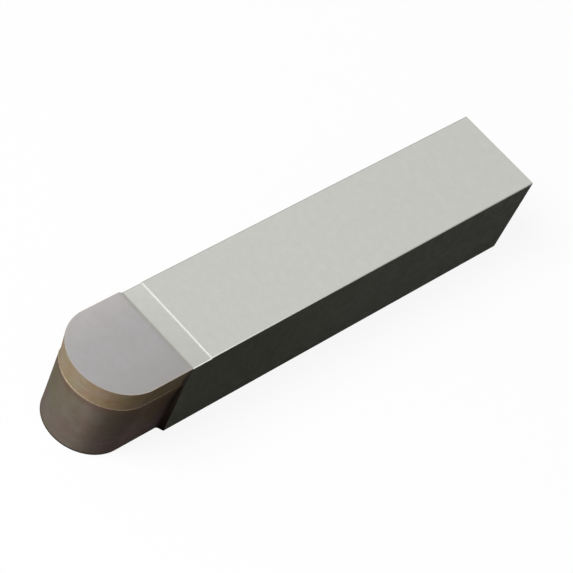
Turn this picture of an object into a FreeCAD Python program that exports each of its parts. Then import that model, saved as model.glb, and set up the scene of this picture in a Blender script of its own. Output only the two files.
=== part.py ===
"""Brazed carbide tool bit: a square steel shank with a full-radius carbide tip brazed to its nose.

The frame: +X runs along the shank to the cutting nose, +Z is up, and the origin is the middle of the
underside of the whole tool's box. The pieces are a steel shank, a carbide tip and the braze between them.
"""

import FreeCAD, Part
import math
import os
import Sketcher
from FreeCAD import Vector

PARTS_FOLDER = "parts"
NODES = ("shank", "braze_layer", "carbide_tip")
TOLERANCE = 1e-6

# Driving dimensions: alias, value in millimetres or degrees, what it is
DIMENSIONS = (
    ("overall_length", 114.3, "back end to the foremost point of the cutting edge"),
    ("shank_width", 19.05, "square bar, across the flats"),
    ("shank_height", 19.05, "square bar, underside to top"),
    ("edge_break", 0.2, "small chamfer on the long edges and the back end"),
    ("tip_length", 19.2, "rear face of the carbide to the foremost cutting edge"),
    ("tip_thickness", 4.76, "carbide blank, three sixteenths of an inch"),
    ("tip_overhang", 0.15, "how far the cutting edge stands outside each side of the shank"),
    ("tip_rise", 0.2, "how far the top of the carbide stands above the top of the shank"),
    ("tip_clearance", 6.0, "slope of the carbide flank, in degrees"),
    ("edge_hone", 0.08, "light hone along the cutting edge"),
    ("braze_bed", 0.15, "braze metal under the carbide"),
    ("braze_back", 0.3, "braze metal between the rear face of the carbide and its seat wall"),
    ("braze_lip", 0.15, "how far the braze and the steel stand outside the foot of the carbide"),
    ("nose_clearance", 4.8, "slope of the steel flank under the carbide, in degrees"),
    ("nose_root", 12.0, "how far the nose is carried back into the bar, out of sight"),
    ("ledge_length", 4.6, "ground ledge, from the rear face of the carbide to the foot of the riser"),
    ("ledge_depth", 0.25, "how far the ledge lies below the top of the shank"),
    ("riser_run", 0.5, "length of the slope from the ledge up to the top of the shank"),
    ("shoulder_lean", 3.8, "slope of the shoulders, back as they go down, in degrees"),
    ("shoulder_sweep", 27.0, "turn of the shoulders in plan, forward as they go in, in degrees"),
    ("cutter_spare", 5.0, "how far a cut runs past the metal that it takes away"),
)

# Places and sizes that several pieces share, as expressions of the sheet
TIP_REAR = "(dims.overall_length / 2 - dims.tip_length)"
NOSE_RADIUS = "(dims.shank_width / 2 + dims.tip_overhang)"
NOSE_CENTRE = f"(dims.overall_length / 2 - {NOSE_RADIUS})"
TIP_TOP = "(dims.shank_height + dims.tip_rise)"
TIP_FOOT = f"({TIP_TOP} - dims.tip_thickness)"
SEAT_LEVEL = f"({TIP_FOOT} - dims.braze_bed)"
FOOT_RADIUS = f"({NOSE_RADIUS} - dims.tip_thickness * tan(dims.tip_clearance * 1 deg))"
LEDGE_LEVEL = "(dims.shank_height - dims.ledge_depth)"

doc = FreeCAD.newDocument("brazed_carbide_tool_bit")


def fill_sheet():
    """Write the driving dimensions into a sheet, one aliased cell each."""
    sheet = doc.addObject("Spreadsheet::Sheet", "dims")
    sheet.Label = "dims"
    for row, (alias, value, meaning) in enumerate(DIMENSIONS, start=1):
        sheet.set(f"A{row}", meaning)
        sheet.set(f"B{row}", str(value))
        sheet.setAlias(f"B{row}", alias)
    doc.recompute()


def value_of(expression):
    """Present value of an expression of the sheet, as a plain number."""
    value = doc.dims.evalExpression(expression)
    return getattr(value, "Value", value)


def new_body(name):
    """Add an empty body with its own origin planes."""
    body = doc.addObject("PartDesign::Body", name)
    body.Label = name
    doc.recompute()
    return body


def sketch_on(body, role, name, height=None):
    """Attach a sketch to one of the body's origin planes, lifted along the plane's normal if asked."""
    plane = next(item for item in body.Origin.OriginFeatures if item.Role == role)
    sketch = body.newObject("Sketcher::SketchObject", name)
    sketch.AttachmentSupport = [(plane, "")]
    sketch.MapMode = "FlatFace"
    if height is not None:
        sketch.setExpression("AttachmentOffset.Base.z", height)
    return sketch


def add_outline(sketch, points):
    """Draw a closed run of straight lines through the points and join their ends."""
    count = len(points)
    for index, point in enumerate(points):
        after = points[(index + 1) % count]
        sketch.addGeometry(Part.LineSegment(Vector(*point, 0), Vector(*after, 0)))
    for index in range(count):
        sketch.addConstraint(Sketcher.Constraint("Coincident", index, 2, (index + 1) % count, 1))


def square_up(sketch, level, upright):
    """Hold some lines of an outline level and some upright."""
    for line in level:
        sketch.addConstraint(Sketcher.Constraint("Horizontal", line))
    for line in upright:
        sketch.addConstraint(Sketcher.Constraint("Vertical", line))


def drive(sketch, kind, name, expression, *where):
    """Add a named driving constraint and bind its value to the sheet."""
    index = sketch.addConstraint(Sketcher.Constraint(kind, *where, value_of(expression)))
    sketch.renameConstraint(index, name)
    sketch.setExpression(f"Constraints.{name}", expression)


def draw_arrowhead(body, name, height):
    """Plan outline of the bar: a long rectangle whose swept shoulders meet in a point on the axis."""
    sketch = sketch_on(body, "XY_Plane", name, height)
    sweep = "dims.shank_width / 2 * tan(dims.shoulder_sweep * 1 deg)"
    back, corner = -value_of("dims.overall_length / 2"), value_of(TIP_REAR)
    half, point = value_of("dims.shank_width / 2"), corner + value_of(sweep)
    add_outline(sketch, [(back, -half), (corner, -half), (point, 0), (corner, half), (back, half)])
    square_up(sketch, level=(0, 3), upright=(4,))
    sketch.addConstraint(Sketcher.Constraint("Symmetric", 0, 2, 2, 2, -1))
    sketch.addConstraint(Sketcher.Constraint("PointOnObject", 1, 2, -1))
    drive(sketch, "DistanceX", "back_end", "dims.overall_length / 2", 0, 1, -1, 1)
    drive(sketch, "DistanceY", "width", "dims.shank_width", 0, 1, 3, 2)
    drive(sketch, "DistanceX", "corner", TIP_REAR, -1, 1, 0, 2)
    drive(sketch, "DistanceX", "sweep", sweep, 1, 1, 1, 2)
    return sketch


def draw_full_radius(body, name, height, radius, rear):
    """Plan outline of a full-radius nose: a half circle, two straight sides and a square rear."""
    sketch = sketch_on(body, "XY_Plane", name, height)
    back, centre, half = value_of(rear), value_of(NOSE_CENTRE), value_of(radius)
    quarter = math.pi / 2
    circle = Part.Circle(Vector(centre, 0, 0), Vector(0, 0, 1), half)
    sketch.addGeometry(Part.LineSegment(Vector(back, -half, 0), Vector(centre, -half, 0)))
    sketch.addGeometry(Part.ArcOfCircle(circle, -quarter, quarter))
    sketch.addGeometry(Part.LineSegment(Vector(centre, half, 0), Vector(back, half, 0)))
    sketch.addGeometry(Part.LineSegment(Vector(back, half, 0), Vector(back, -half, 0)))
    sketch.addConstraint(Sketcher.Constraint("Tangent", 0, 2, 1, 1))
    sketch.addConstraint(Sketcher.Constraint("Tangent", 1, 2, 2, 1))
    sketch.addConstraint(Sketcher.Constraint("Coincident", 2, 2, 3, 1))
    sketch.addConstraint(Sketcher.Constraint("Coincident", 3, 2, 0, 1))
    sketch.addConstraint(Sketcher.Constraint("PointOnObject", 1, 3, -1))
    square_up(sketch, level=(0, 2), upright=(3,))
    drive(sketch, "Radius", "radius", radius, 1)
    drive(sketch, "DistanceX", "centre", NOSE_CENTRE, -1, 1, 1, 3)
    drive(sketch, "DistanceX", "rear", rear, -1, 1, 0, 1)
    return sketch


def pad_down(body, name, sketch, depth):
    """Pad a plan outline straight down from its own level."""
    pad = body.newObject("PartDesign::Pad", name)
    pad.Profile = sketch
    pad.Reversed = True
    pad.setExpression("Length", depth)
    sketch.Visibility = False


def cut_across(body, name, sketch, width):
    """Cut a side profile through the body, the same way to both sides of the middle plane."""
    pocket = body.newObject("PartDesign::Pocket", name)
    pocket.Profile = sketch
    pocket.SideType = "Symmetric"
    pocket.setExpression("Length", width)
    sketch.Visibility = False


def draw_in(body, name, slope, wanted):
    """Slope some upright faces inwards as they go down, turned about their top edges."""
    doc.recompute()
    last = body.Tip
    faces = list(enumerate(last.Shape.Faces, start=1))
    top_number, _ = max(faces, key=lambda item: item[1].CenterOfMass.z)
    draft = body.newObject("PartDesign::Draft", name)
    draft.Base = (last, [f"Face{number}" for number, face in faces if wanted(face)])
    draft.NeutralPlane = (last, [f"Face{top_number}"])
    draft.Reversed = True
    draft.setExpression("Angle", slope)
    doc.recompute()
    if draft.Shape.Volume >= last.Shape.Volume:
        raise SystemExit(f"{name}: the faces slope outwards")


def break_edges(body, name, size, wanted):
    """Chamfer the edges of the body's last feature whose two ends pass the test."""
    doc.recompute()
    last = body.Tip
    edges = []
    for number, edge in enumerate(last.Shape.Edges, start=1):
        ends = [vertex.Point for vertex in edge.Vertexes]
        if len(ends) == 2 and wanted(*ends):
            edges.append(f"Edge{number}")
    if not edges:
        raise SystemExit(f"{name}: no edge found")
    chamfer = body.newObject("PartDesign::Chamfer", name)
    chamfer.Base = (last, edges)
    chamfer.setExpression("Size", size)


def middle_normal(face):
    """Outward direction at the middle of a face."""
    u_low, u_high, v_low, v_high = face.ParameterRange
    return face.normalAt((u_low + u_high) / 2, (v_low + v_high) / 2)


def is_swept(face):
    """An upright face that stands neither square to the bar nor along it."""
    normal = middle_normal(face)
    return abs(normal.x) > TOLERANCE and abs(normal.y) > TOLERANCE and abs(normal.z) < TOLERANCE


def is_flank(face):
    """An upright face of a full-radius outline, apart from its square rear."""
    normal = middle_normal(face)
    return abs(normal.z) < TOLERANCE and normal.x > -1 + TOLERANCE


def all_at(ends, axis, level):
    """Whether every end point of an edge lies at a level along an axis."""
    return all(math.isclose(getattr(end, axis), level, abs_tol=TOLERANCE) for end in ends)


def make_bar():
    """Square bar with leaning, swept shoulders, the ledge behind the carbide and broken edges."""
    body = new_body("bar")
    outline = draw_arrowhead(body, "bar_outline", "dims.shank_height")
    pad_down(body, "bar_pad", outline, "dims.shank_height")
    draw_in(body, "shoulders", "dims.shoulder_lean", is_swept)
    cut_across(body, "ledge", draw_ledge(body), "dims.shank_width + 2 * dims.cutter_spare")
    doc.recompute()
    box = body.Tip.Shape.BoundBox

    def is_broken(*ends):
        """An edge that runs along one side of the bar, or any edge of the square back end."""
        span = ends[1] - ends[0]
        on_side = all_at(ends, "y", box.YMin) or all_at(ends, "y", box.YMax)
        return all_at(ends, "x", box.XMin) or on_side and abs(span.x) > abs(span.z)

    break_edges(body, "edge_breaks", "dims.edge_break", is_broken)
    return body


def draw_ledge(body):
    """Side profile of the ledge cut: level behind the carbide, then a slope up to the top of the bar."""
    sketch = sketch_on(body, "XZ_Plane", "ledge_profile")
    reach = "dims.ledge_length + dims.tip_length + dims.cutter_spare"
    foot, low = value_of(f"{TIP_REAR} - dims.ledge_length"), value_of(LEDGE_LEVEL)
    top, high = foot - value_of("dims.riser_run"), value_of("dims.shank_height")
    front, over = foot + value_of(reach), high + value_of("dims.cutter_spare")
    add_outline(sketch, [(foot, low), (front, low), (front, over), (top, over), (top, high)])
    square_up(sketch, level=(0, 2), upright=(1, 3))
    drive(sketch, "DistanceY", "level", LEDGE_LEVEL, -1, 1, 0, 1)
    drive(sketch, "DistanceX", "riser_foot", f"{TIP_REAR} - dims.ledge_length", -1, 1, 0, 1)
    drive(sketch, "DistanceX", "run", "dims.riser_run", 3, 2, 0, 1)
    drive(sketch, "DistanceY", "depth", "dims.ledge_depth", 0, 1, 3, 2)
    drive(sketch, "DistanceX", "reach", reach, 0, 1, 0, 2)
    drive(sketch, "DistanceY", "clear_above", "dims.cutter_spare", 3, 2, 2, 2)
    return sketch


def make_nose():
    """Relieved steel nose that carries the carbide, from the foot of the carbide to the underside."""
    body = new_body("nose")
    radius = f"{FOOT_RADIUS} + dims.braze_lip"
    outline = draw_full_radius(body, "nose_outline", TIP_FOOT, radius, f"{TIP_REAR} - dims.nose_root")
    pad_down(body, "nose_pad", outline, TIP_FOOT)
    draw_in(body, "nose_relief", "dims.nose_clearance", is_flank)
    return body


def make_tip():
    """Carbide tip: full-radius plan, relieved flanks, square rear face and a honed cutting edge."""
    body = new_body("carbide_tip")
    outline = draw_full_radius(body, "tip_outline", TIP_TOP, NOSE_RADIUS, TIP_REAR)
    pad_down(body, "tip_pad", outline, "dims.tip_thickness")
    draw_in(body, "tip_relief", "dims.tip_clearance", is_flank)
    box = body.Tip.Shape.BoundBox

    def is_cutting_edge(*ends):
        """A top edge of the tip, apart from the one along its rear face."""
        return all_at(ends, "z", box.ZMax) and not all_at(ends, "x", box.XMin)

    break_edges(body, "hone", "dims.edge_hone", is_cutting_edge)
    return body


def make_seat_room():
    """The room that the carbide and its braze take out of the blank."""
    seat = doc.addObject("Part::Box", "seat_room")
    seat.setExpression("Length", "dims.braze_back + dims.tip_length + dims.cutter_spare")
    seat.setExpression("Width", "dims.shank_width + 2 * dims.cutter_spare")
    seat.setExpression("Height", f"dims.shank_height - {SEAT_LEVEL} + dims.cutter_spare")
    seat.setExpression("Placement.Base.x", f"{TIP_REAR} - dims.braze_back")
    seat.setExpression("Placement.Base.y", "-(dims.shank_width / 2 + dims.cutter_spare)")
    seat.setExpression("Placement.Base.z", SEAT_LEVEL)
    return seat


def combine(kind, name, base, tool):
    """Join two shapes with a boolean of the given kind."""
    result = doc.addObject(kind, name)
    result.Label = name
    result.Base = base
    result.Tool = tool
    result.Refine = True
    return result


def find_piece(node):
    """The object whose label is the node's name."""
    return doc.getObjectsByLabel(node)[0]


def check_document():
    """Stop if any object of the document failed or a piece is not one sound solid."""
    for item in doc.Objects:
        if "Invalid" in item.State or "Error" in item.State:
            raise SystemExit(f"{item.Label} failed: {item.State}")
    for node in NODES:
        shape = find_piece(node).Shape
        if shape.isNull() or not shape.isValid() or len(shape.Solids) != 1:
            raise SystemExit(f"{node} is not one sound solid")


def main():
    """Build the three pieces and write one file for each."""
    fill_sheet()
    tip = make_tip()
    blank = combine("Part::Fuse", "blank", make_bar(), make_nose())
    seat = make_seat_room()
    combine("Part::Cut", "shank", blank, seat)
    filling = combine("Part::Common", "seat_filling", blank, seat)
    combine("Part::Cut", "braze_layer", filling, tip)
    doc.recompute()
    check_document()

    os.makedirs(PARTS_FOLDER, exist_ok=True)
    for node in NODES:
        shape = find_piece(node).Shape
        shape.exportStep(f"{PARTS_FOLDER}/{node}.step")
        print(f"{node}: volume {shape.Volume:.2f} mm3, {len(shape.Faces)} faces")


main()
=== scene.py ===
"""Brazed carbide tool bit: the visible pieces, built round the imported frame.

A square steel shank carries a full-radius carbide tip, brazed into a seat at its relieved nose.
The sizes in the fields below are in millimetres and degrees. The meshes go into the frame in metres, in its
axes: +X along the shank to the cutting nose, +Z up, the origin in the middle of the underside.
"""

import logging
import math
from dataclasses import dataclass
from enum import Enum, IntEnum
from typing import Any, Callable

import bmesh
import bpy
from mathutils import Matrix, Vector, noise

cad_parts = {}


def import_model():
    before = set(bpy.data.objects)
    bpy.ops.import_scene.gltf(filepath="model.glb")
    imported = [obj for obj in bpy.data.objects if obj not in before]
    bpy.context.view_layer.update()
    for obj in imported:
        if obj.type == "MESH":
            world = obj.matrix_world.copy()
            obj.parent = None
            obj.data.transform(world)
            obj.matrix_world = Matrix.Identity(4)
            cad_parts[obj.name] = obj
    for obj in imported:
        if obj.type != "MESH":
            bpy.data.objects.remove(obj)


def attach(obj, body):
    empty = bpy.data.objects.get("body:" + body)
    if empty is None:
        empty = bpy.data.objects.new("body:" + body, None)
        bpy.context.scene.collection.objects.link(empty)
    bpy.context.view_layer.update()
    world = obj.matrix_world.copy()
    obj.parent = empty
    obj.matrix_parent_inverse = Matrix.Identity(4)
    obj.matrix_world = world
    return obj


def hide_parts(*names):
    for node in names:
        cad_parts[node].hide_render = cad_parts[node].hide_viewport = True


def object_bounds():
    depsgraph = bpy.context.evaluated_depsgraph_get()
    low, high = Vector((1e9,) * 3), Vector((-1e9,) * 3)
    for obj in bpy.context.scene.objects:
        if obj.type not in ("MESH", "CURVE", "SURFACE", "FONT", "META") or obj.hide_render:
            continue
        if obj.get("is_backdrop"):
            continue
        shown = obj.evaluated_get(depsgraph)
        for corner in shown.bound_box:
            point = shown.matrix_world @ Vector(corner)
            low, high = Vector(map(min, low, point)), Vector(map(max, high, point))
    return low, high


log = logging.getLogger("tool_bit")

MM = 0.001
TINY = 1e-4

Colour = tuple[float, float, float, float]
Socket = bpy.types.NodeSocket


def shade(red: int, green: int, blue: int) -> Colour:
    """Turn a colour as it is written on screen into the linear one that a shader takes.

    Args:
        red, green, blue: The colour, 0 to 255.

    Returns:
        The linear colour, with full cover.
    """

    def linear(level: int) -> float:
        """Linear value of one channel."""
        part = level / 255
        return part / 12.92 if part <= 0.04045 else ((part + 0.055) / 1.055) ** 2.4

    return linear(red), linear(green), linear(blue), 1.0


def direction(azimuth: float, elevation: float) -> Vector:
    """Unit vector towards an azimuth from +X to +Y and an elevation above the floor, in degrees."""
    turn = math.radians(azimuth)
    rise = math.radians(elevation)
    return Vector((math.cos(turn) * math.cos(rise), math.sin(turn) * math.cos(rise), math.sin(rise)))


class Follows(Enum):
    """What the tints of a finish follow over the piece."""

    ALONG_THE_SHANK = "x"
    ACROSS_THE_SHANK = "y"
    UP_THE_PIECE = "z"
    ROUND_THE_NOSE = "angle"
    FROM_THE_SHOULDER = "lean"


@dataclass(frozen=True)
class Tint:
    """One colour of a finish and where it stands, in millimetres, or in degrees round the nose."""

    place: float
    red: int
    green: int
    blue: int


@dataclass(frozen=True)
class Patches:
    """Large soft patches of a second colour, such as a heat stain, laid over the first or filtering it."""

    red: int
    green: int
    blue: int
    size: float
    cover: float
    filters: bool = False


@dataclass(frozen=True)
class Band:
    """A soft-edged, slightly patchy band of a second colour, such as the stain along a braze joint, and also painted
    shade along creases and edges.
    """

    follows: Follows
    start: float
    end: float
    soft: float
    red: int
    green: int
    blue: int
    cover: float


@dataclass(frozen=True)
class Grain:
    """Fine marks of grinding or blasting: their length on each axis, how dark and how deep they are."""

    length: tuple[float, float, float]
    contrast: float
    depth: float
    detail: float = 3.0


class NodeSheet:
    """The node tree of one material, with short ways to add nodes and join them."""

    def __init__(self, name: str) -> None:
        """Start an empty tree in a new material of that name."""
        self.material = bpy.data.materials.new(name)
        self.material.use_nodes = True
        self.tree = self.material.node_tree
        self.tree.nodes.clear()
        self.coordinates = self.add("ShaderNodeTexCoord").outputs["Object"]

    def add(
        self,
        kind: str,
        settings: dict[str, Any] | None = None,
        inputs: dict[str | int, Any] | None = None,
    ) -> bpy.types.Node:
        """Add a node.

        Args:
            kind: The node's type name.
            settings: Values of its own properties.
            inputs: Values of its inputs, or the outputs that they are joined to.

        Returns:
            The node.
        """
        node = self.tree.nodes.new(kind)
        for name, value in (settings or {}).items():
            setattr(node, name, value)
        for name, value in (inputs or {}).items():
            if isinstance(value, Socket):
                self.tree.links.new(value, node.inputs[name])
            else:
                node.inputs[name].default_value = value
        return node

    def math(self, operation: str, first: Any, second: Any = 0.0) -> Socket:
        """Output of one sum of two numbers or outputs."""
        return self.add("ShaderNodeMath", {"operation": operation}, {0: first, 1: second}).outputs[0]

    def spread(self, value: Socket, low: float, high: float, to_low: float, to_high: float) -> Socket:
        """Output that carries a value from one range to another, held at both ends."""
        inputs = {"Value": value, "From Min": low, "From Max": high, "To Min": to_low, "To Max": to_high}
        return self.add("ShaderNodeMapRange", {"clamp": True}, inputs).outputs["Result"]

    def marks(self, lengths: tuple[float, float, float], detail: float, turn: float = 0.0) -> Socket:
        """Noise whose marks have a length in millimetres on each axis.

        Args:
            lengths: Length of a mark along X, Y and Z.
            detail: Octaves of the noise.
            turn: Turn of the marks about Z, in degrees.

        Returns:
            The noise, 0 to 1 with 0.5 as its mean.
        """
        scale = tuple(1 / (length * MM) for length in lengths)
        inputs = {"Vector": self.coordinates, "Scale": scale, "Rotation": (0.0, 0.0, math.radians(turn))}
        place = self.add("ShaderNodeMapping", {"vector_type": "POINT"}, inputs).outputs[0]
        found = {"Vector": place, "Scale": 1.0, "Detail": detail, "Roughness": 0.55}
        return self.add("ShaderNodeTexNoise", None, found).outputs["Fac"]

    def position(self, follows: Follows) -> Socket:
        """Place along the piece in millimetres, or the angle round the nose in degrees."""
        parts = self.add("ShaderNodeSeparateXYZ", None, {0: self.coordinates}).outputs
        if follows is Follows.ROUND_THE_NOSE:
            ahead = self.math("SUBTRACT", parts["X"], NOSE_CENTRE * MM)
            turn = self.math("ARCTAN2", parts["Y"], ahead)
            return self.math("MULTIPLY", turn, 180 / math.pi)
        if follows is Follows.FROM_THE_SHOULDER:
            upright = self.math("SUBTRACT", parts["X"], self.math("MULTIPLY", parts["Z"], SHOULDER_LEAN))
            return self.math("MULTIPLY", upright, 1 / MM)
        return self.math("MULTIPLY", parts[follows.value.upper()], 1 / MM)

    def ramp(self, value: Socket, tints: tuple[Tint, ...]) -> Socket:
        """Colour that runs through the tints as a place goes from the first of them to the last."""
        first, last = tints[0].place, tints[-1].place
        node = self.add("ShaderNodeValToRGB", None, {"Fac": self.spread(value, first, last, 0.0, 1.0)})
        stops = node.color_ramp.elements
        for tint in tints[1:-1]:
            stops.new((tint.place - first) / (last - first))
        for stop, tint in zip(stops, tints):
            stop.color = shade(tint.red, tint.green, tint.blue)
        return node.outputs["Color"]

    def blend(self, share: Any, under: Any, over: Any, kind: str = "MIX") -> Socket:
        """Colour of one layer over another."""
        settings = {"data_type": "RGBA", "blend_type": kind}
        node = self.add("ShaderNodeMix", settings, {"Factor": share})
        for name, value in (("A", under), ("B", over)):
            socket = next(s for s in node.inputs if s.name == name and s.type == "RGBA")
            if isinstance(value, Socket):
                self.tree.links.new(value, socket)
            else:
                socket.default_value = value
        return next(s for s in node.outputs if s.type == "RGBA")


@dataclass(frozen=True)
class Finish:
    """One finish of a metal surface, with its tints, mottling, stains, marks and gloss."""

    name: str
    tints: tuple[Tint, ...]
    follows: Follows = Follows.ALONG_THE_SHANK
    stains: tuple[Patches, ...] = ()
    bands: tuple[Band, ...] = ()
    mottle_size: float = 1.6
    mottle: float = 0.03
    grain: Grain = Grain((0.3, 0.3, 0.3), 0.03, 0.002)
    roughness: float = 0.5
    roughness_change: float = 0.06
    metallic: float = 0.0
    specular: float = 0.3

    def colour(self, sheet: NodeSheet) -> Socket:
        """Colour of the surface, from its tints to its marks.

        Args:
            sheet: The material's node tree.

        Returns:
            The output that carries the colour.
        """
        colour = sheet.ramp(sheet.position(self.follows), self.tints)
        for number, stain in enumerate(self.stains):
            size = stain.size * (1 + 0.13 * number)
            cloud = sheet.marks((size, size, size), 2.0, 35.0 * (number + 1))
            share = sheet.spread(cloud, 0.42, 0.66, 0.0, stain.cover)
            kind = "MULTIPLY" if stain.filters else "MIX"
            colour = sheet.blend(share, colour, shade(stain.red, stain.green, stain.blue), kind)
        for band in self.bands:
            place = sheet.position(band.follows)
            rise = sheet.spread(place, band.start - band.soft, band.start, 0.0, band.cover)
            fall = sheet.spread(place, band.end, band.end + band.soft, band.cover, 0.0)
            patchy = sheet.spread(sheet.marks((1.5, 1.5, 1.5), 2.0, 50.0), 0.35, 0.6, 0.5, 1.0)
            share = sheet.math("MULTIPLY", sheet.math("MINIMUM", rise, fall), patchy)
            colour = sheet.blend(share, colour, shade(band.red, band.green, band.blue))
        mottle = sheet.marks((self.mottle_size,) * 3, 3.0)
        level = sheet.spread(mottle, 0.3, 0.7, 1 - self.mottle, 1 + self.mottle)
        marks = sheet.marks(self.grain.length, self.grain.detail)
        fine = sheet.spread(marks, 0.3, 0.7, 1 - self.grain.contrast, 1 + self.grain.contrast)
        return self.scaled(sheet, colour, sheet.math("MULTIPLY", level, fine))

    @staticmethod
    def scaled(sheet: NodeSheet, colour: Socket, level: Socket) -> Socket:
        """Colour made lighter or darker by a level near 1."""
        inputs = {0: colour, "Scale": level}
        return sheet.add("ShaderNodeVectorMath", {"operation": "SCALE"}, inputs).outputs[0]

    def build(self) -> bpy.types.Material:
        """Make the material of this finish.

        Returns:
            The material.
        """
        sheet = NodeSheet(self.name)
        height = sheet.marks(self.grain.length, self.grain.detail)
        bump = {"Height": height, "Strength": 1.0, "Distance": self.grain.depth * MM}
        normal = sheet.add("ShaderNodeBump", None, bump).outputs["Normal"]
        wear = sheet.marks((self.mottle_size * 1.7,) * 3, 2.0, 20.0)
        low, high = self.roughness - self.roughness_change, self.roughness + self.roughness_change
        inputs = {
            "Base Color": self.colour(sheet),
            "Roughness": sheet.spread(wear, 0.3, 0.7, low, high),
            "Metallic": self.metallic,
            "Specular IOR Level": self.specular,
            "Normal": normal,
        }
        surface = sheet.add("ShaderNodeBsdfPrincipled", None, inputs).outputs[0]
        sheet.add("ShaderNodeOutputMaterial", None, {"Surface": surface})
        return sheet.material


# Sizes that more than one piece uses
NOSE_CENTRE = 47.475
SHANK_HALF = 9.525
SHANK_TOP = 19.05
BACK_END = -57.15
SEAT_LEVEL = 14.34
TIP_FOOT = 14.49
TIP_TOP = 19.25
TIP_REAR = 37.95
LEDGE_LEVEL = 18.8
ARC_STEPS = 96
SHOULDER_LEAN = 0.07454
FAR_DENT = 0.22


def dent(x: float, y: float) -> float:
    """How far the steel is ground back on the far side of the nose at the seat, in millimetres."""
    turn = math.degrees(math.atan2(y, x - NOSE_CENTRE))
    share = min(max((-48.0 - turn) / 10.0, 0.0), 1.0)
    return FAR_DENT * share * share * (3 - 2 * share)


class Steel(IntEnum):
    """Finishes of the shank, by their place among its materials."""

    TOP = 0
    LEDGE = 1
    RISER = 2
    SIDE = 3
    UNDERSIDE = 4
    NOSE = 5
    SHOULDER = 6
    NEAR_EDGE = 7
    EDGE = 8
    LOWER_EDGE = 9
    BACK_END = 10


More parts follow.
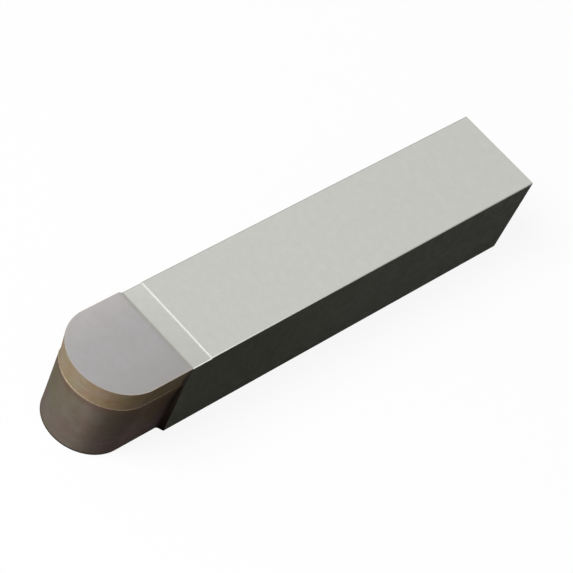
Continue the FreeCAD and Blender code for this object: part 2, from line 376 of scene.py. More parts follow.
STEEL_FINISHES: dict[Steel, Finish] = {
    Steel.TOP: Finish(
        "ground_steel_top",
        (Tint(-57, 201, 202, 196), Tint(0, 199, 200, 194), Tint(33, 196, 197, 191)),
        mottle=0.02,
        grain=Grain((0.25, 0.25, 0.25), 0.03, 0.002),
        roughness=0.68,
        metallic=0.18,
        specular=0.12,
    ),
    Steel.LEDGE: Finish(
        "ground_steel_ledge",
        (Tint(-9.5, 201, 202, 195), Tint(-3, 194, 196, 189), Tint(3, 190, 192, 185), Tint(9.5, 187, 188, 182)),
        follows=Follows.ACROSS_THE_SHANK,
        mottle=0.02,
        grain=Grain((0.12, 2.5, 0.3), 0.03, 0.0015),
        roughness=0.64,
        metallic=0.18,
        specular=0.12,
    ),
    # Lighter than the top and the ledge: a painted highlight on the riser.
    Steel.RISER: Finish(
        "riser_painted_highlight",
        (Tint(-9.5, 209, 210, 204), Tint(8.2, 209, 210, 204), Tint(9.5, 200, 201, 196)),
        follows=Follows.ACROSS_THE_SHANK,
        mottle_size=0.8,
        mottle=0.04,
        grain=Grain((0.1, 1.2, 0.3), 0.04, 0.0015),
        roughness=0.6,
        metallic=0.05,
        specular=0.05,
    ),
    # The sides' dark colour is painted shade. The first band darkens their bottom edge as painted shade; the second
    # darkens them along the back end.
    Steel.SIDE: Finish(
        "side_painted_shade",
        (Tint(-57, 76, 77, 69), Tint(-10, 84, 84, 76), Tint(36, 85, 85, 75)),
        bands=(
            Band(Follows.UP_THE_PIECE, -1.0, 0.25, 0.15, 10, 10, 8, 1.0),
            Band(Follows.ALONG_THE_SHANK, -60.0, -56.9, 0.15, 16, 16, 14, 0.9),
        ),
        mottle_size=1.2,
        mottle=0.1,
        grain=Grain((1.2, 0.4, 0.25), 0.08, 0.004),
        roughness=0.65,
        specular=0.01,
    ),
    Steel.UNDERSIDE: Finish(
        "ground_steel_underside",
        (Tint(-57, 188, 189, 184), Tint(57, 184, 185, 180)),
        mottle=0.03,
        grain=Grain((2.5, 0.2, 0.3), 0.05, 0.003),
        roughness=0.45,
        metallic=0.35,
    ),
    # Heat tint with painted shade: the tints darken round the nose towards both shoulders, the band from the
    # shoulder is painted shade of the crease, and the last band is painted shade along the bottom edge.
    Steel.NOSE: Finish(
        "nose_heat_tint_painted_shade",
        (
            Tint(-142, 30, 24, 21),
            Tint(-120, 88, 74, 62),
            Tint(-90, 108, 98, 84),
            Tint(-30, 117, 113, 98),
            Tint(-5, 127, 119, 106),
            Tint(28, 136, 125, 113),
            Tint(50, 109, 98, 88),
            Tint(75, 101, 87, 78),
            Tint(100, 97, 83, 71),
            Tint(118, 87, 72, 55),
            Tint(130, 71, 57, 45),
            Tint(136, 44, 35, 28),
            Tint(142, 24, 20, 17),
        ),
        follows=Follows.ROUND_THE_NOSE,
        stains=(
            Patches(254, 240, 240, 5.0, 0.7, True),
            Patches(240, 250, 232, 3.6, 0.6, True),
            Patches(236, 228, 222, 2.2, 0.4, True),
        ),
        bands=(
            Band(Follows.UP_THE_PIECE, 13.5, 14.6, 0.7, 118, 88, 70, 0.45),
            Band(Follows.UP_THE_PIECE, -1.0, 4.0, 5.0, 124, 105, 106, 0.4),
            Band(Follows.FROM_THE_SHOULDER, 35.0, 36.8, 1.8, 17, 13, 12, 0.8),
            Band(Follows.UP_THE_PIECE, -1.0, 0.3, 0.2, 34, 31, 27, 1.0),
        ),
        mottle=0.05,
        grain=Grain((3.0, 3.0, 0.2), 0.05, 0.0025),
        roughness=0.55,
        specular=0.004,
    ),
    # The shoulder's dark colour, darkest at the bottom, is painted shade of the recess.
    Steel.SHOULDER: Finish(
        "shoulder_painted_shade",
        (Tint(0, 37, 31, 31), Tint(14, 84, 68, 58)),
        follows=Follows.UP_THE_PIECE,
        mottle=0.06,
        grain=Grain((0.3, 0.3, 2.0), 0.06, 0.003),
        roughness=0.7,
        specular=0.004,
    ),
    # A painted highlight on the near top edge, brightest towards the nose.
    Steel.NEAR_EDGE: Finish(
        "near_edge_painted_highlight",
        (Tint(-57, 150, 150, 145), Tint(-5, 186, 187, 181), Tint(14, 210, 211, 205), Tint(38, 238, 238, 233)),
        mottle_size=1.0,
        mottle=0.06,
        grain=Grain((0.8, 0.2, 0.2), 0.05, 0.002),
        roughness=0.35,
        metallic=0.8,
    ),
    Steel.EDGE: Finish(
        "broken_edge",
        (Tint(-57, 138, 138, 133), Tint(38, 146, 146, 141)),
        mottle_size=1.0,
        mottle=0.06,
        grain=Grain((0.8, 0.8, 0.2), 0.05, 0.002),
        roughness=0.5,
        specular=0.1,
    ),
    # Painted shade on the edges round the underside, which look down.
    Steel.LOWER_EDGE: Finish(
        "lower_edge_painted_shade",
        (Tint(-57, 26, 26, 23), Tint(57, 30, 27, 23)),
        mottle=0.06,
        grain=Grain((0.8, 0.8, 0.2), 0.05, 0.002),
        roughness=0.65,
        specular=0.01,
    ),
    Steel.BACK_END: Finish(
        "sawn_back_end",
        (Tint(-9.5, 108, 108, 100), Tint(9.5, 98, 98, 90)),
        follows=Follows.ACROSS_THE_SHANK,
        mottle_size=2.2,
        mottle=0.1,
        grain=Grain((0.3, 6.0, 0.14), 0.16, 0.008),
        roughness=0.55,
        metallic=0.2,
        specular=0.1,
    ),
}


class Workpiece:
    """A bmesh in millimetres, shaped with bmesh operators and then finished as an object in metres."""

    def __init__(self) -> None:
        """Start with no metal."""
        self.mesh = bmesh.new()

    def run_on(self, vertex: bmesh.types.BMVert, places: list[tuple[float, float]]) -> bmesh.types.BMVert:
        """Draw a line on from a vertex through places at its level.

        Args:
            vertex: Where the line starts.
            places: X and Y of each corner.

        Returns:
            The line's last vertex.
        """
        for x, y in places:
            drawn = bmesh.ops.extrude_vert_indiv(self.mesh, verts=[vertex])
            vertex = drawn["verts"][0]
            vertex.co = (x, y, vertex.co.z)
        return vertex

    def plan(
        self,
        level: float,
        radius: float,
        near: list[tuple[float, float]],
    ) -> bmesh.types.BMFace:
        """Draw a closed plan with the round nose, the same on both sides, and fill it.

        Args:
            level: Height of the plan.
            radius: Radius of the nose.
            near: Corners of the near side, from the nose to the back.

        Returns:
            The face, which looks down.
        """
        first = self.mesh.verts.new((NOSE_CENTRE, -radius, level))
        bmesh.ops.spin(
            self.mesh,
            geom=[first],
            cent=(NOSE_CENTRE, 0, level),
            axis=(0, 0, 1),
            angle=math.pi,
            steps=ARC_STEPS,
            use_merge=False,
        )
        last = max(self.mesh.verts, key=lambda vert: vert.co.y)
        far = [(x, -y) for x, y in near]
        ends = [self.run_on(last, near), self.run_on(first, far)]
        self.mesh.edges.new(ends)
        filled = bmesh.ops.contextual_create(self.mesh, geom=list(self.mesh.edges))
        face = filled["faces"][0]
        if face.normal.z > 0:
            face.normal_flip()
        return face

    def raise_face(
        self,
        face: bmesh.types.BMFace,
        move: Callable[[Vector], Vector],
    ) -> bmesh.types.BMFace:
        """Extrude a face and move each new corner, and leave no face inside the metal.

        Args:
            face: The face to raise.
            move: Gives a corner's new place from its old one.

        Returns:
            The raised face.
        """
        enclosed = all(len(edge.link_faces) > 1 for edge in face.edges)
        raised = bmesh.ops.extrude_face_region(self.mesh, geom=[face])["geom"]
        if enclosed:
            bmesh.ops.delete(self.mesh, geom=[face], context="FACES_ONLY")
        for vertex in (part for part in raised if isinstance(part, bmesh.types.BMVert)):
            vertex.co = move(vertex.co.copy())
        return next(part for part in raised if isinstance(part, bmesh.types.BMFace))

    def cut_at(self, place: tuple[float, float, float], normal: tuple[float, float, float]) -> None:
        """Cut new edges where a plane meets the metal."""
        everything = list(self.mesh.verts) + list(self.mesh.edges) + list(self.mesh.faces)
        bmesh.ops.bisect_plane(self.mesh, geom=everything, dist=1e-5, plane_co=place, plane_no=normal)

    def round_edges(self, chosen: list[bmesh.types.BMEdge], width: float, steps: int) -> None:
        """Bevel some edges to a width, in a number of steps."""
        bmesh.ops.bevel(
            self.mesh,
            geom=chosen,
            offset=width,
            offset_type="OFFSET",
            segments=steps,
            profile=0.5,
            affect="EDGES",
            clamp_overlap=True,
            material=-1,
        )

    def settle(self) -> None:
        """Turn every face outwards and bring the lists up to date."""
        bmesh.ops.remove_doubles(self.mesh, verts=list(self.mesh.verts), dist=1e-5)
        bmesh.ops.recalc_face_normals(self.mesh, faces=list(self.mesh.faces))
        self.mesh.normal_update()

    def finish(
        self,
        name: str,
        finishes: list[Finish],
        region: Callable[[bmesh.types.BMFace], int],
        crease: float = 35.0,
    ) -> bpy.types.Object:
        """Make the object, in metres, with a finish on each region.

        Args:
            name: Name of the piece.
            finishes: The finishes, in the order of their numbers.
            region: Gives the number of the finish of a face.
            crease: Angle from which an edge stays crisp, in degrees.

        Returns:
            The object, at the origin.
        """
        self.settle()
        for face in self.mesh.faces:
            face.material_index = region(face)
            face.smooth = True
        for edge in self.mesh.edges:
            sides = [face.material_index for face in edge.link_faces]
            edge.smooth = len(set(sides)) < 2 and edge.calc_face_angle(0.0) < math.radians(crease)
        bmesh.ops.scale(self.mesh, vec=(MM, MM, MM), verts=list(self.mesh.verts))
        data = bpy.data.meshes.new(name)
        self.mesh.to_mesh(data)
        self.mesh.free()
        for finish in finishes:
            data.materials.append(finish.build())
        piece = bpy.data.objects.new(name, data)
        bpy.context.scene.collection.objects.link(piece)
        return piece


@dataclass
class SteelShank:
    """The square bar with its relieved nose, its seat, leaning shoulders, ground ledge and broken edges."""

    nose_radius: float = 8.26
    nose_slope: float = 4.065
    shoulder_front: float = 36.53
    shoulder_rise: float = SHOULDER_LEAN
    shoulder_sweep: float = 27.0
    fillet: float = 0.4
    fillet_reach: float = 1.25
    riser_top: float = 32.89
    riser_foot: float = 33.08
    edge_break: float = 0.15
    lower_break: float = 0.12

    def radius(self, level: float) -> float:
        """Radius of the nose at a level."""
        return self.nose_radius + level * math.tan(math.radians(self.nose_slope))

    def shoulder(self, level: float) -> tuple[Vector, Vector]:
        """Outer and inner corner of the near shoulder at a level."""
        outer = Vector((self.shoulder_front + level * self.shoulder_rise, SHANK_HALF, level))
        inset = SHANK_HALF - self.radius(level)
        step = inset * math.tan(math.radians(self.shoulder_sweep))
        return outer, outer + Vector((step, -inset, 0))

    def at_level(self, place: Vector, level: float) -> Vector:
        """Where a corner of the plan at the underside stands at a higher level.

        Args:
            place: The corner at the underside.
            level: The level that it is carried to.

        Returns:
            The corner's place at that level.
        """
        side = math.copysign(1.0, place.y)
        mirrored = Vector((place.x, abs(place.y), 0))
        outer_low, inner_low = self.shoulder(0)
        outer, inner = self.shoulder(level)
        if mirrored.x < 0:
            moved = mirrored
        elif (mirrored - outer_low).length < TINY:
            moved = outer
        elif (mirrored - inner_low).length < self.fillet_reach:
            shrink = (SHANK_HALF - self.radius(level)) / (SHANK_HALF - self.radius(0))
            moved = inner + (mirrored - inner_low) * shrink
        else:
            ground = dent(place.x, place.y) * level / SEAT_LEVEL
            grown = (self.radius(level) - ground) / self.radius(0)
            ahead = max(mirrored.x - NOSE_CENTRE, 0)
            moved = Vector((mirrored.x + ahead * (grown - 1), mirrored.y * grown, 0))
        return Vector((moved.x, moved.y * side, level))

    def near_plan(self) -> list[tuple[float, float]]:
        """Corners of the near side at the underside, from the nose to the back end."""
        outer, inner = self.shoulder(0)
        flank = [(x, self.nose_radius) for x in (45.6, 43.8, 42.0, 40.4, 39.2)]
        return flank + [(inner.x, inner.y), (outer.x, outer.y), (BACK_END, SHANK_HALF)]

    def round_shoulder_roots(self, work: Workpiece) -> None:
        """Round the two inner shoulder corners of the plan."""
        _, inner = self.shoulder(0)
        chosen = [v for v in work.mesh.verts if abs(v.co.x - inner.x) < TINY and abs(abs(v.co.y) - inner.y) < TINY]
        bmesh.ops.bevel(
            work.mesh,
            geom=chosen,
            offset=self.fillet,
            offset_type="OFFSET",
            segments=6,
            profile=0.5,
            affect="VERTICES",
            clamp_overlap=True,
            material=-1,
        )

    def is_lower(self, edge: bmesh.types.BMEdge) -> bool:
        """Whether an edge goes round the underside."""
        return max(vertex.co.z for vertex in edge.verts) < TINY

    def is_upper(self, edge: bmesh.types.BMEdge) -> bool:
        """Whether an edge is one of the bar's long upper edges or an edge of its back end."""
        first, second = (vertex.co for vertex in edge.verts)
        on_sides = min(abs(first.y), abs(second.y)) > SHANK_HALF - TINY
        along = abs(first.y - second.y) < TINY and min(first.z, second.z) > LEDGE_LEVEL - TINY
        at_back = max(first.x, second.x) < BACK_END + TINY
        crisp = edge.calc_face_angle(0.0) > math.radians(30)
        return crisp and not self.is_lower(edge) and ((on_sides and along) or at_back)

    def region(self, face: bmesh.types.BMFace) -> int:
        """Finish of a face of the shank, from where it is and where it looks."""
        middle, normal = face.calc_center_median(), face.normal
        if normal.z > 0.99:
            return Steel.TOP if middle.z > SHANK_TOP - 0.05 else Steel.LEDGE
        if normal.z < -0.99:
            return Steel.UNDERSIDE
        # The riser takes the finish with the painted highlight.
        if normal.z > 0.5 and self.riser_top - 0.3 < middle.x < self.riser_foot + 0.3 and abs(middle.y) < 9.4:
            return Steel.RISER
        if middle.x < BACK_END + 0.01:
            return Steel.BACK_END
        if abs(middle.y) > SHANK_HALF - 0.01:
            return Steel.SIDE
        # Edges that look down take painted shade.
        if normal.z < -0.1:
            return Steel.LOWER_EDGE
        if middle.x < self.shoulder_front - 1 or middle.z > SEAT_LEVEL + 1:
            if normal.z < 0.1:
                return Steel.SIDE
            # The near top edge takes the painted highlight; the other top edges take the plain broken edge.
            return Steel.NEAR_EDGE if middle.y > SHANK_HALF - 0.5 else Steel.EDGE
        # Faces by the shoulders that look forward take the painted shade of the recess.
        return Steel.SHOULDER if normal.x > 0.6 and middle.x < NOSE_CENTRE - 8 else Steel.NOSE

    def build(self) -> bpy.types.Object:
        """Build the shank.

        Returns:
            The finished object.
        """
        work = Workpiece()
        work.plan(0.0, self.nose_radius, self.near_plan())
        self.round_shoulder_roots(work)
        base = work.mesh.faces[:][0]
        seat = work.raise_face(base, lambda place: self.at_level(place, SEAT_LEVEL))
        outer, _ = self.shoulder(SEAT_LEVEL)
        wall = [v for v in seat.verts if abs(v.co.x - outer.x) < TINY and abs(v.co.y) > SHANK_HALF - TINY]
        bmesh.ops.connect_verts(work.mesh, verts=wall)
        rear = min(
            (face for face in work.mesh.faces if min(v.co.z for v in face.verts) > SEAT_LEVEL - TINY),
            key=lambda face: face.calc_center_median().x,
        )
        work.raise_face(rear, lambda place: Vector((place.x, place.y, SHANK_TOP)))
        for x in (self.riser_top, self.riser_foot):
            work.cut_at((x, 0, 0), (1, 0, 0))
        for vertex in work.mesh.verts:
            if vertex.co.z > SHANK_TOP - TINY and vertex.co.x > self.riser_foot - TINY:
                vertex.co.z = LEDGE_LEVEL
        work.settle()
        work.round_edges([edge for edge in work.mesh.edges if self.is_upper(edge)], self.edge_break, 3)
        work.round_edges([edge for edge in work.mesh.edges if self.is_lower(edge)], self.lower_break, 2)
        return work.finish("steel_shank", list(STEEL_FINISHES.values()), self.region)


class Brazing(IntEnum):
    """Finishes of the braze, by their place among its materials."""

    BEAD = 0
    TOP = 1
    WALL = 2


BRAZE_FINISHES: dict[Brazing, Finish] = {
    # The tints darken at both ends, by the shoulders, as painted shade.
    Brazing.BEAD: Finish(
        "braze_bead",
        (
            Tint(-136, 92, 78, 60),
            Tint(-70, 132, 118, 98),
            Tint(-10, 154, 138, 116),
            Tint(25, 148, 130, 110),
            Tint(50, 142, 124, 104),
            Tint(75, 158, 142, 114),
            Tint(100, 158, 142, 112),
            Tint(122, 144, 128, 99),
            Tint(131, 96, 83, 62),
            Tint(136, 58, 49, 38),
        ),
        follows=Follows.ROUND_THE_NOSE,
        mottle_size=0.9,
        mottle=0.3,
        grain=Grain((0.3, 0.3, 0.3), 0.1, 0.006),
        roughness=0.5,
        metallic=0.15,
        specular=0.15,
    ),
    Brazing.TOP: Finish(
        "ground_braze_line",
        (Tint(-9.5, 186, 186, 178), Tint(9.5, 178, 178, 170)),
        follows=Follows.ACROSS_THE_SHANK,
        mottle=0.06,
        grain=Grain((0.2, 1.0, 0.2), 0.06, 0.002),
        metallic=0.3,
    ),
    # Its dark colour is painted shade of the recess by the shoulders.
    Brazing.WALL: Finish(
        "braze_wall_painted_shade",
        (Tint(14, 40, 34, 29), Tint(19, 44, 38, 32)),
        follows=Follows.UP_THE_PIECE,
        mottle=0.08,
        grain=Grain((0.3, 0.3, 1.0), 0.08, 0.003),
        roughness=0.6,
        specular=0.1,
    ),
}


@dataclass
class BrazeLayer:
    """The braze metal: a sheet under the carbide with a small uneven bead round it, and a wall behind."""

    seat_radius: float = 9.2793
    rear: float = 37.74
    wall_rear: float = 37.599
    bead: tuple[tuple[float, float], ...] = (
        (-0.02, 0.0),
        (0.02, 0.02),
        (0.08, 0.025),
        (0.14, 0.0),
        (0.18, -0.06),
        (0.22, -0.145),
        (0.15, -0.17),
    )
    waviness: float = 0.035
    wave_length: float = 1.3
    lean: float = SHOULDER_LEAN
    sweep: float = 27.0

    def moved(self, base: Vector, rise: float, offset: float) -> Vector:
        """Place of a corner of the bead above and outside its corner on the plan.

        Args:
            base: The corner on the plan at the seat.
            rise: How far the corner stands above the seat.
            offset: How far the corner stands outside the steel.

        Returns:
            The corner's place, a little uneven along the bead.
        """
        along = Vector((base.x, base.y, 0)) / self.wave_length
        wave = noise.noise(along) * self.waviness
        slow = noise.noise(along * 0.31 + Vector((7.3, 1.9, 4.1))) * self.waviness
        ahead = Vector((max(base.x - NOSE_CENTRE, 0), base.y, 0))
        out = ahead.normalized() if ahead.length > TINY else Vector((0, 0, 0))
        uneven = max(offset, 0) / 0.03 * (wave + slow) * 0.4
        place = base + out * (offset + uneven - dent(base.x, base.y))
        place.z = SEAT_LEVEL + rise + (wave + slow) * min(1.0, abs(rise) / 0.12)
        return place

    def bead_and_bed(self, work: Workpiece) -> None:
        """Draw the bed under the carbide and raise its rim to the bead."""
        flank = [(self.rear + (NOSE_CENTRE - self.rear) * part / 24, self.seat_radius) for part in range(23, -1, -1)]
        face = work.plan(SEAT_LEVEL, self.seat_radius, flank)
        plan = {vertex: vertex.co.copy() for vertex in face.verts}
        first_rise, first_offset = self.bead[0]
        for vertex, base in plan.items():
            vertex.co = self.moved(base, first_rise, first_offset)
        for rise, offset in self.bead[1:]:
            bases = list(plan.values())

            def lifted(place: Vector) -> Vector:
                """Corner of the next ring, from the corner of the ring below."""
                base = min(bases, key=lambda spot: (spot.xy - place.xy).length_squared)
                return self.moved(base, rise, offset)

            face = work.raise_face(face, lifted)
            plan = {vertex: min(bases, key=lambda spot: (spot.xy - vertex.co.xy).length_squared) for vertex in face.verts}

    def wall(self, work: Workpiece) -> None:
        """Raise the wall of braze between the rear face of the carbide and the seat."""
        slope = math.tan(math.radians(self.sweep))
        corners = [
            (self.wall_rear, -SHANK_HALF),
            (TIP_REAR, -SHANK_HALF + (TIP_REAR - self.wall_rear) / slope),
            (TIP_REAR, SHANK_HALF - (TIP_REAR - self.wall_rear) / slope),
            (self.wall_rear, SHANK_HALF),
        ]
        first = work.mesh.verts.new((*corners[0], SEAT_LEVEL))
        last = work.run_on(first, corners[1:])
        work.mesh.edges.new((last, first))
        edges = [edge for edge in work.mesh.edges if not edge.link_faces]
        face = bmesh.ops.contextual_create(work.mesh, geom=edges)["faces"][0]

        def leaned(place: Vector) -> Vector:
            """Corner of the wall's top, on the shoulder's slope."""
            rise = LEDGE_LEVEL - SEAT_LEVEL
            side = math.copysign(1.0, place.y)
            if abs(place.x - self.wall_rear) < TINY:
                return Vector((place.x, place.y, LEDGE_LEVEL))
            outside = SHANK_HALF - (TIP_REAR - self.wall_rear - rise * self.lean) / slope
            return Vector((TIP_REAR, side * min(outside, SHANK_HALF), LEDGE_LEVEL))

        work.raise_face(face, leaned)

    def region(self, face: bmesh.types.BMFace) -> int:
        """Finish of a face of the braze."""
        middle = face.calc_center_median()
        if face.normal.z > 0.9 and middle.z > LEDGE_LEVEL - 0.1:
            return Brazing.TOP
        return Brazing.WALL if middle.x < TIP_REAR - 0.02 and middle.z > SEAT_LEVEL + 0.4 else Brazing.BEAD

    def build(self) -> bpy.types.Object:
        """Build the braze.

        Returns:
            The finished object.
        """
        work = Workpiece()
        self.bead_and_bed(work)
        self.wall(work)
        return work.finish("braze_metal", list(BRAZE_FINISHES.values()), self.region, 60.0)


class Carbide(IntEnum):
    """Finishes of the carbide tip, by their place among its materials."""

    TOP = 0
    FLANK = 1
    EDGE = 2
    RIM = 3


CARBIDE_FINISHES: dict[Carbide, Finish] = {
    Carbide.TOP: Finish(
        "lapped_carbide_top",
        (
            Tint(-9.7, 181, 178, 177),
            Tint(-3, 168, 166, 166),
            Tint(3, 165, 163, 163),
            Tint(9.7, 156, 155, 153),
        ),
        follows=Follows.ACROSS_THE_SHANK,
        stains=(Patches(162, 156, 154, 3.0, 0.25),),
        bands=(Band(Follows.ALONG_THE_SHANK, 37.0, 38.2, 0.9, 150, 150, 140, 0.7),),
        mottle=0.015,
        grain=Grain((0.15, 0.15, 0.15), 0.015, 0.0008),
        roughness=0.58,
        metallic=0.18,
        specular=0.15,
    ),
    # Straw tint with painted shade: the tints darken round the near side and towards both shoulders, and the band
    # from the shoulder is painted shade of the crease.
    Carbide.FLANK: Finish(
        "flank_straw_tint_painted_shade",
        (
            Tint(-136, 104, 90, 70),
            Tint(-90, 144, 130, 106),
            Tint(-20, 168, 154, 132),
            Tint(22, 174, 157, 136),
            Tint(42, 166, 146, 120),
            Tint(60, 151, 134, 108),
            Tint(75, 138, 121, 97),
            Tint(92, 106, 90, 60),
            Tint(130, 98, 82, 58),
            Tint(136, 88, 72, 52),
        ),
        follows=Follows.ROUND_THE_NOSE,
        stains=(
            Patches(255, 232, 224, 3.6, 0.65, True),
            Patches(244, 250, 216, 3.0, 0.55, True),
            Patches(240, 228, 218, 1.8, 0.35, True),
        ),
        bands=(Band(Follows.FROM_THE_SHOULDER, 35.0, 36.7, 1.3, 26, 20, 13, 1.0),),
        mottle=0.04,
        grain=Grain((2.5, 2.5, 0.2), 0.1, 0.0012),
        roughness=0.45,
        specular=0.006,
    ),
    # Lighter round the near side from 80 degrees on: a painted highlight along the edge.
    Carbide.EDGE: Finish(
        "honed_cutting_edge",
        (
            Tint(-136, 168, 164, 158),
            Tint(-40, 154, 148, 136),
            Tint(40, 152, 142, 128),
            Tint(80, 196, 188, 172),
            Tint(136, 200, 190, 170),
        ),
        follows=Follows.ROUND_THE_NOSE,
        mottle=0.04,
        grain=Grain((0.2, 0.2, 0.2), 0.04, 0.001),
        roughness=0.45,
        metallic=0.0,
        specular=0.1,
    ),
    # Lighter than the top: a painted highlight along the rim of the top.
    Carbide.RIM: Finish(
        "rim_painted_highlight",
        (Tint(-9.7, 182, 178, 175), Tint(0, 175, 169, 165), Tint(9.7, 164, 158, 153)),
        follows=Follows.ACROSS_THE_SHANK,
        mottle_size=0.8,
        mottle=0.04,
        grain=Grain((0.2, 0.2, 0.2), 0.03, 0.001),
        roughness=0.55,
        metallic=0.2,
        specular=0.15,
    ),
}


@dataclass
class CarbideTip:
    """The full-radius carbide blank, relieved all round, with a honed edge and a clipped far corner."""

    top_radius: float = 9.675
    foot_radius: float = 9.175
    hone: float = 0.08
    rim: float = 0.16
    foot_shift: float = 0.1
    clipped_along: float = 0.7
    clipped_across: float = 0.4

    def grown(self, place: Vector) -> Vector:
        """Corner of the top, from the corner of the foot below it."""
        growth = self.top_radius / self.foot_radius
        ahead = max(place.x - NOSE_CENTRE, 0)
        return Vector((place.x + ahead * (growth - 1), place.y * growth, TIP_TOP))

    def clip_corner(self, work: Workpiece) -> None:
        """Cut off the far rear corner with an upright plane."""
        place = Vector((TIP_REAR, -self.top_radius + self.clipped_across, 0))
        across = Vector((self.clipped_along, -self.clipped_across, 0))
        normal = Vector((across.y, -across.x, 0)).normalized()
        geometry = list(work.mesh.verts) + list(work.mesh.edges) + list(work.mesh.faces)
        cut = bmesh.ops.bisect_plane(
            work.mesh, geom=geometry, dist=1e-5, plane_co=place, plane_no=normal, clear_outer=True
        )
        rim = [part for part in cut["geom_cut"] if isinstance(part, bmesh.types.BMEdge)]
        bmesh.ops.holes_fill(work.mesh, edges=rim, sides=0)

    def region(self, face: bmesh.types.BMFace) -> int:
        """Finish of a face of the tip."""
        middle = face.calc_center_median()
        if face.normal.z > 0.995:
            return Carbide.TOP if len(face.verts) > 8 else Carbide.RIM
        honed = middle.z > TIP_TOP - self.hone - TINY and face.normal.z > 0.02
        return Carbide.EDGE if honed and middle.x > TIP_REAR + 0.1 else Carbide.FLANK

    def build(self) -> bpy.types.Object:
        """Build the carbide tip.

        Returns:
            The finished object.
        """
        work = Workpiece()
        flank = [(x, self.foot_radius) for x in (45.6, 43.8, 42.0, 40.4, 39.2, TIP_REAR)]
        foot = work.plan(TIP_FOOT, self.foot_radius, flank)
        work.raise_face(foot, self.grown)
        self.clip_corner(work)
        work.settle()
        rim = [
            edge
            for edge in work.mesh.edges
            if min(v.co.z for v in edge.verts) > TIP_TOP - TINY and edge.calc_face_angle(0.0) > math.radians(40)
        ]
        front = [edge for edge in rim if max(v.co.x for v in edge.verts) > TIP_REAR + TINY]
        work.round_edges(front, self.hone, 3)
        top = max(work.mesh.faces, key=lambda face: face.calc_center_median().z * face.calc_area())
        # The inset ring is the rim that carries the painted highlight.
        bmesh.ops.inset_region(work.mesh, faces=[top], thickness=self.rim, use_even_offset=True)
        for vertex in work.mesh.verts:
            if vertex.co.z < TIP_FOOT + TINY and vertex.co.x > TIP_REAR + TINY:
                vertex.co.y += self.foot_shift
        return work.finish("carbide_blank", list(CARBIDE_FINISHES.values()), self.region)


@dataclass
class PhotoCamera:
    """The camera of the photograph, as a target, a direction and a roll."""

    target: tuple[float, float, float] = (-0.00017486, 0.00025886, 0.00959403)
    azimuth: float = 24.3862
    elevation: float = 44.377
    roll: float = 28.9114
    distance: float = 0.558781
    lens: float = 191.492

    def build(self) -> bpy.types.Object:
        """Place the camera and make it the scene's own.

        Returns:
            The camera.
        """
        back = direction(self.azimuth, self.elevation)
        level = Vector((0, 0, 1)).cross(back).normalized()
        upright = back.cross(level)
        turn = math.radians(self.roll)
        right = level * math.cos(turn) + upright * math.sin(turn)
        up = back.cross(right)
        place = Vector(self.target) + back * self.distance
        data = bpy.data.cameras.new("photo_camera")
        data.lens = self.lens
        data.sensor_width = 36.0
        data.clip_start = 0.01
        data.clip_end = 50.0
        camera = bpy.data.objects.new("photo_camera", data)
        camera.matrix_world = Matrix.Translation(place) @ Matrix((right, up, back)).transposed().to_4x4()
        bpy.context.scene.collection.objects.link(camera)
        bpy.context.scene.camera = camera
        return camera


@dataclass
class StudioLights:
    """A large soft key from the front left, and a pale room that metal sees as white."""

    key_azimuth: float = -19.0
    key_elevation: float = 50.0
    key_distance: float = 1.3
    key_size: float = 0.7
    key_level: float = 1.02
    room_level: float = 0.22

    def key(self) -> bpy.types.Object:
        """Hang the key light, at a level of light on a face that is square to it."""
        data = bpy.data.lights.new("key_light", "AREA")
        data.shape = "DISK"
        data.size = self.key_size
        data.energy = self.key_level * math.pi**2 * self.key_distance**2
        light = bpy.data.objects.new("key_light", data)
        towards = direction(self.key_azimuth, self.key_elevation)
        light.location = towards * self.key_distance
        light.rotation_euler = towards.to_track_quat("Z", "Y").to_euler()
        bpy.context.scene.collection.objects.link(light)
        return light

    def room(self) -> None:
        """Make the world: white to the camera and in reflections, and a low even light otherwise."""
        world = bpy.data.worlds.new("pale_room")
        bpy.context.scene.world = world
        world.use_nodes = True
        tree = world.node_tree
        tree.nodes.clear()
        path = tree.nodes.new("ShaderNodeLightPath")
        seen = path.outputs["Is Camera Ray"]
        for name in ("Is Glossy Ray", "Is Transmission Ray"):
            both = tree.nodes.new("ShaderNodeMath")
            both.operation = "MAXIMUM"
            tree.links.new(seen, both.inputs[0])
            tree.links.new(path.outputs[name], both.inputs[1])
            seen = both.outputs[0]
        level = tree.nodes.new("ShaderNodeMapRange")
        tree.links.new(seen, level.inputs["Value"])
        level.inputs["To Min"].default_value = self.room_level
        level.inputs["To Max"].default_value = 1.0
        background = tree.nodes.new("ShaderNodeBackground")
        background.inputs["Color"].default_value = (1, 1, 1, 1)
        tree.links.new(level.outputs["Result"], background.inputs["Strength"])
        output = tree.nodes.new("ShaderNodeOutputWorld")
        tree.links.new(background.outputs[0], output.inputs["Surface"])

    def build(self) -> None:
        """Light the scene."""
        self.key()
        self.room()


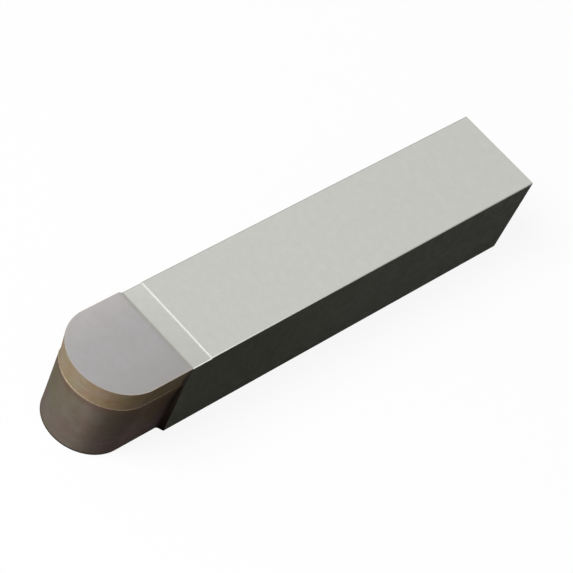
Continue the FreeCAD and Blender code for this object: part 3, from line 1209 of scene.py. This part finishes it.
@dataclass
class PaleFloor:
    """A plain white floor just under the shank, which keeps a faint shadow of it."""

    size: float = 6.0
    drop: float = 0.02
    glow: float = 0.9
    bounce: float = 0.25

    def material(self) -> bpy.types.Material:
        """White for the camera and in reflections, and paler grey for the light that it throws back."""
        sheet = NodeSheet("pale_floor")
        path = sheet.add("ShaderNodeLightPath").outputs
        seen = sheet.math("MAXIMUM", path["Is Camera Ray"], path["Is Glossy Ray"])
        seen = sheet.math("MAXIMUM", seen, path["Is Transmission Ray"])
        white = sheet.add("ShaderNodeEmission", None, {"Color": (1, 1, 1, 1), "Strength": 1.0}).outputs[0]
        matt = sheet.add("ShaderNodeBsdfDiffuse", None, {"Color": (0.97, 0.97, 0.97, 1)}).outputs[0]
        grey = (self.bounce, self.bounce, self.bounce, 1)
        dim = sheet.add("ShaderNodeBsdfDiffuse", None, {"Color": grey}).outputs[0]
        shown = sheet.add("ShaderNodeMixShader", None, {0: self.glow, 1: matt, 2: white}).outputs[0]
        surface = sheet.add("ShaderNodeMixShader", None, {0: seen, 1: dim, 2: shown}).outputs[0]
        sheet.add("ShaderNodeOutputMaterial", None, {"Surface": surface})
        return sheet.material

    def build(self) -> bpy.types.Object:
        """Lay the floor.

        Returns:
            The floor.
        """
        mesh = bmesh.new()
        bmesh.ops.create_grid(mesh, x_segments=2, y_segments=2, size=self.size / 2)
        bmesh.ops.translate(mesh, vec=(0, 0, -self.drop * MM), verts=list(mesh.verts))
        data = bpy.data.meshes.new("floor")
        mesh.to_mesh(data)
        mesh.free()
        data.materials.append(self.material())
        floor = bpy.data.objects.new("floor", data)
        bpy.context.scene.collection.objects.link(floor)
        floor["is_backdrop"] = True
        return floor


def corners(bounds: Any) -> list[list[float]]:
    """Bounds as plain lists of numbers."""
    return [[float(value) for value in corner] for corner in bounds]


def take_place(piece: bpy.types.Object, node: str) -> None:
    """Let a piece stand for a node of the frame and ride with the tool.

    Args:
        piece: The finished object.
        node: The node that it stands for.
    """
    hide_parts(node)
    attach(piece, "root")
    log.info("%s: %d faces, for %s", piece.name, len(piece.data.polygons), node)


def main() -> None:
    """Build the camera, the studio and the three pieces of the tool."""
    logging.basicConfig(level=logging.INFO, format="%(name)s: %(message)s")
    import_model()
    solid = corners(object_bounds())
    bpy.context.scene.view_settings.view_transform = "Standard"
    PhotoCamera().build()
    StudioLights().build()
    PaleFloor().build()
    take_place(SteelShank().build(), "shank")
    take_place(BrazeLayer().build(), "braze_layer")
    take_place(CarbideTip().build(), "carbide_tip")
    {"solid": solid, "visual": corners(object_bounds())}


if __name__ == "__main__":
    main()
